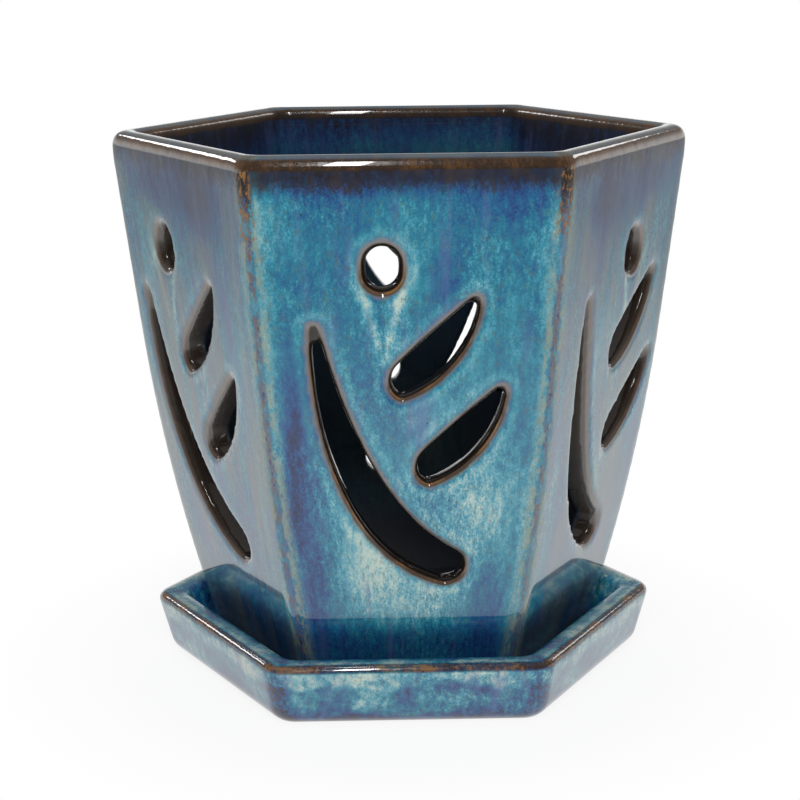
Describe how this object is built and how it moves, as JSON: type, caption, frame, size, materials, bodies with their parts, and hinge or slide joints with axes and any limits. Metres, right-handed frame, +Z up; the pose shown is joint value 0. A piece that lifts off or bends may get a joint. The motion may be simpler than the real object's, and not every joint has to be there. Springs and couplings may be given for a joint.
{
  "type": "orchid pot",
  "caption": "Six-sided glazed orchid pot with flared walls, cut through with round, crescent and leaf-shaped air slots, standing in a six-sided drip saucer.",
  "frame": {"origin": "centre of the saucer's underside, on the surface that it stands on", "axes": "+Z up through the pot's middle; -Y out of the front face; +X to the right seen from the front"},
  "size_m": [0.1572, 0.1374, 0.15],
  "materials": {
    "pot_glaze": "glossy blue-green flowing glaze that breaks brown on edges",
    "saucer_glaze": "glossy blue-green flowing glaze that breaks brown on edges"
  },
  "bodies": {
    "saucer": {"saucer": "saucer_glaze"},
    "pot": {"pot": "pot_glaze"}
  },
  "joints": [
    {"name": "pot_lift", "type": "slide", "parent": "saucer", "child": "pot", "axis": [0, 0, 1], "range_m": [0, 0.06]}
  ]
}
